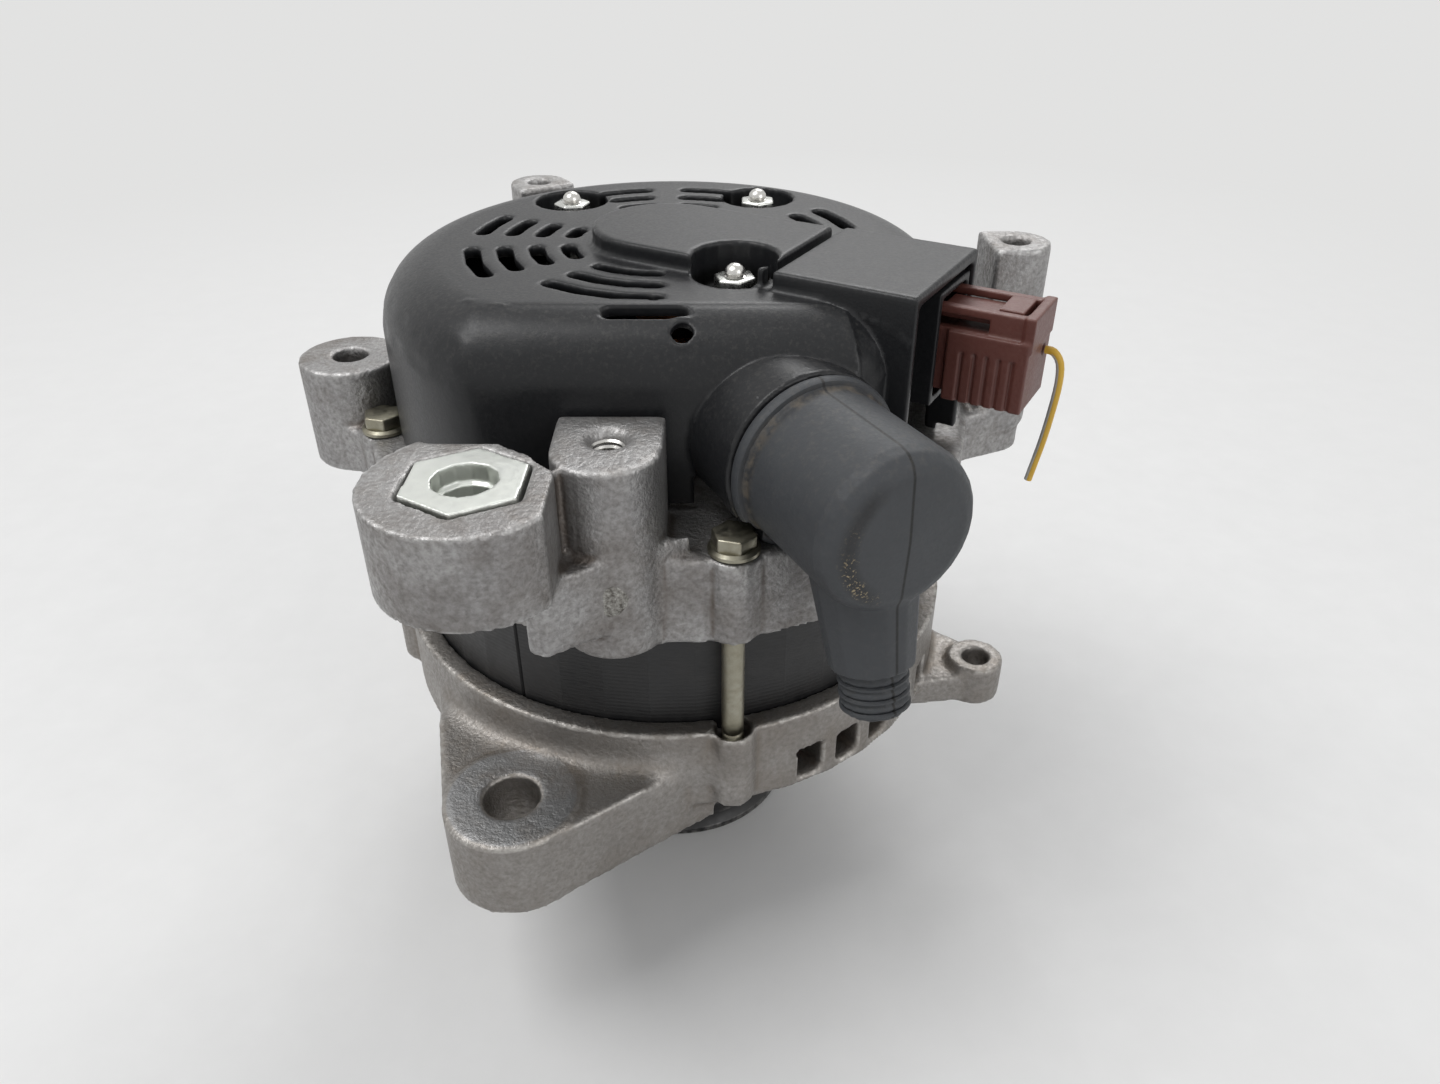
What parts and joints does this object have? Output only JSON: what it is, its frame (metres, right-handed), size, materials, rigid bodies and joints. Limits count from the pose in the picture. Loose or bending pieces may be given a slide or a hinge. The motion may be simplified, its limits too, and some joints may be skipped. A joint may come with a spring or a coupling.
{
  "type": "car alternator",
  "caption": "Car alternator with cast end frames and mounting lugs, bare black stator, ribbed belt pulley, vented plastic rear cover, rubber terminal boot and a wired connector plug.",
  "frame": {"origin": "on the shaft axis, at the front end of the shaft, in the plane of the pulley rim", "axes": "+Z along the shaft from the pulley to the rear cover; -Y towards the mounting lugs, square to the camera side of the picture"},
  "size_m": [0.176, 0.1744, 0.1627],
  "materials": {
    "cast_aluminium": "as cast, shot-blasted",
    "zinc_steel": "zinc plated",
    "black_plastic": "moulded, semi-matte",
    "black_core": "black lacquer on laminations",
    "boot_rubber": "moulded rubber",
    "brown_plastic": "moulded",
    "wire_jacket": "extruded jacket",
    "copper": "enamelled copper",
    "carbon": "carbon brush",
    "pulley_black": "black coated steel",
    "rotor_iron": "forged iron"
  },
  "bodies": {
    "housing": {"b_terminal_insulator": "black_plastic", "b_terminal_nut": "zinc_steel", "b_terminal_stud": "zinc_steel", "bearing_retainer_plate": "zinc_steel", "brush_holder": "black_plastic", "brush_spring_negative": "zinc_steel", "brush_spring_positive": "zinc_steel", "cover_nut_1": "zinc_steel", "cover_nut_2": "zinc_steel", "cover_nut_3": "zinc_steel", "cover_stud_1": "zinc_steel", "cover_stud_2": "zinc_steel", "cover_stud_3": "zinc_steel", "drive_end_frame": "cast_aluminium", "front_bearing_outer_race": "zinc_steel", "rear_bearing_outer_race": "zinc_steel", "rear_cover": "black_plastic", "rear_end_frame": "cast_aluminium", "rectifier_negative_plate": "cast_aluminium", "rectifier_positive_plate": "cast_aluminium", "rectifier_terminal_block": "black_plastic", "retainer_screw_1": "zinc_steel", "retainer_screw_2": "zinc_steel", "retainer_screw_3": "zinc_steel", "retainer_screw_4": "zinc_steel", "stator_core": "black_core", "stator_winding": "copper", "terminal_boot": "boot_rubber", "through_bolt_1": "zinc_steel", "through_bolt_2": "zinc_steel", "through_bolt_3": "zinc_steel", "through_bolt_4": "zinc_steel", "voltage_regulator": "black_plastic"},
    "rotor": {"rotor_shaft": "zinc_steel", "front_claw_pole": "rotor_iron", "rear_claw_pole": "rotor_iron", "field_coil": "copper", "front_fan": "zinc_steel", "rear_fan": "zinc_steel", "slip_ring_sleeve": "black_plastic", "slip_ring_inner": "copper", "slip_ring_outer": "copper", "pulley": "pulley_black", "pulley_nut": "zinc_steel", "pulley_spacer": "zinc_steel", "front_bearing_inner_race": "zinc_steel", "rear_bearing_inner_race": "zinc_steel"},
    "front_cage": {"front_bearing_ball_cage": "zinc_steel"},
    "rear_cage": {"rear_bearing_ball_cage": "zinc_steel"},
    "positive_brush": {"brush_positive": "carbon"},
    "negative_brush": {"brush_negative": "carbon"},
    "plug": {"connector_plug": "brown_plastic", "signal_wire": "wire_jacket"},
    "lever": {"plug_lock_lever": "brown_plastic"},
    "slide_nut": {"lug_slide_nut": "zinc_steel"}
  },
  "joints": [
    {"name": "rotor_spin", "type": "hinge", "parent": "housing", "child": "rotor", "pos_m": [0, 0, 0], "axis": [0, 0, 1], "continuous": true},
    {"name": "front_cage_spin", "type": "hinge", "parent": "housing", "child": "front_cage", "pos_m": [0, 0, 0.0413], "axis": [0, 0, 1], "continuous": true},
    {"name": "rear_cage_spin", "type": "hinge", "parent": "housing", "child": "rear_cage", "pos_m": [0, 0, 0.1236], "axis": [0, 0, 1], "continuous": true},
    {"name": "positive_brush_slide", "type": "slide", "parent": "housing", "child": "positive_brush", "axis": [0.866, -0.5, 0], "range_m": [0, 0.005], "stiffness_N_per_m": 250, "springref_m": -0.012, "deforming": ["brush_spring_positive"]},
    {"name": "negative_brush_slide", "type": "slide", "parent": "housing", "child": "negative_brush", "axis": [0.866, -0.5, 0], "range_m": [0, 0.005], "stiffness_N_per_m": 250, "springref_m": -0.012, "deforming": ["brush_spring_negative"]},
    {"name": "plug_slide", "type": "slide", "parent": "housing", "child": "plug", "axis": [0.866, -0.5, 0], "range_m": [0, 0.02]},
    {"name": "lever_tip", "type": "hinge", "parent": "plug", "child": "lever", "pos_m": [0.06759, -0.03094, 0.1537], "axis": [0.5, 0.866, 0], "range_deg": [0, 6], "stiffness_Nm_per_rad": 0.5, "springref_deg": -2.86},
    {"name": "nut_slide", "type": "slide", "parent": "housing", "child": "slide_nut", "axis": [0, 0, 1], "range_m": [-0.002, 0]}
  ],
  "couplings": [
    {"joint": "front_cage_spin", "follows": "rotor_spin", "ratio": 0.36},
    {"joint": "rear_cage_spin", "follows": "rotor_spin", "ratio": 0.39}
  ]
}
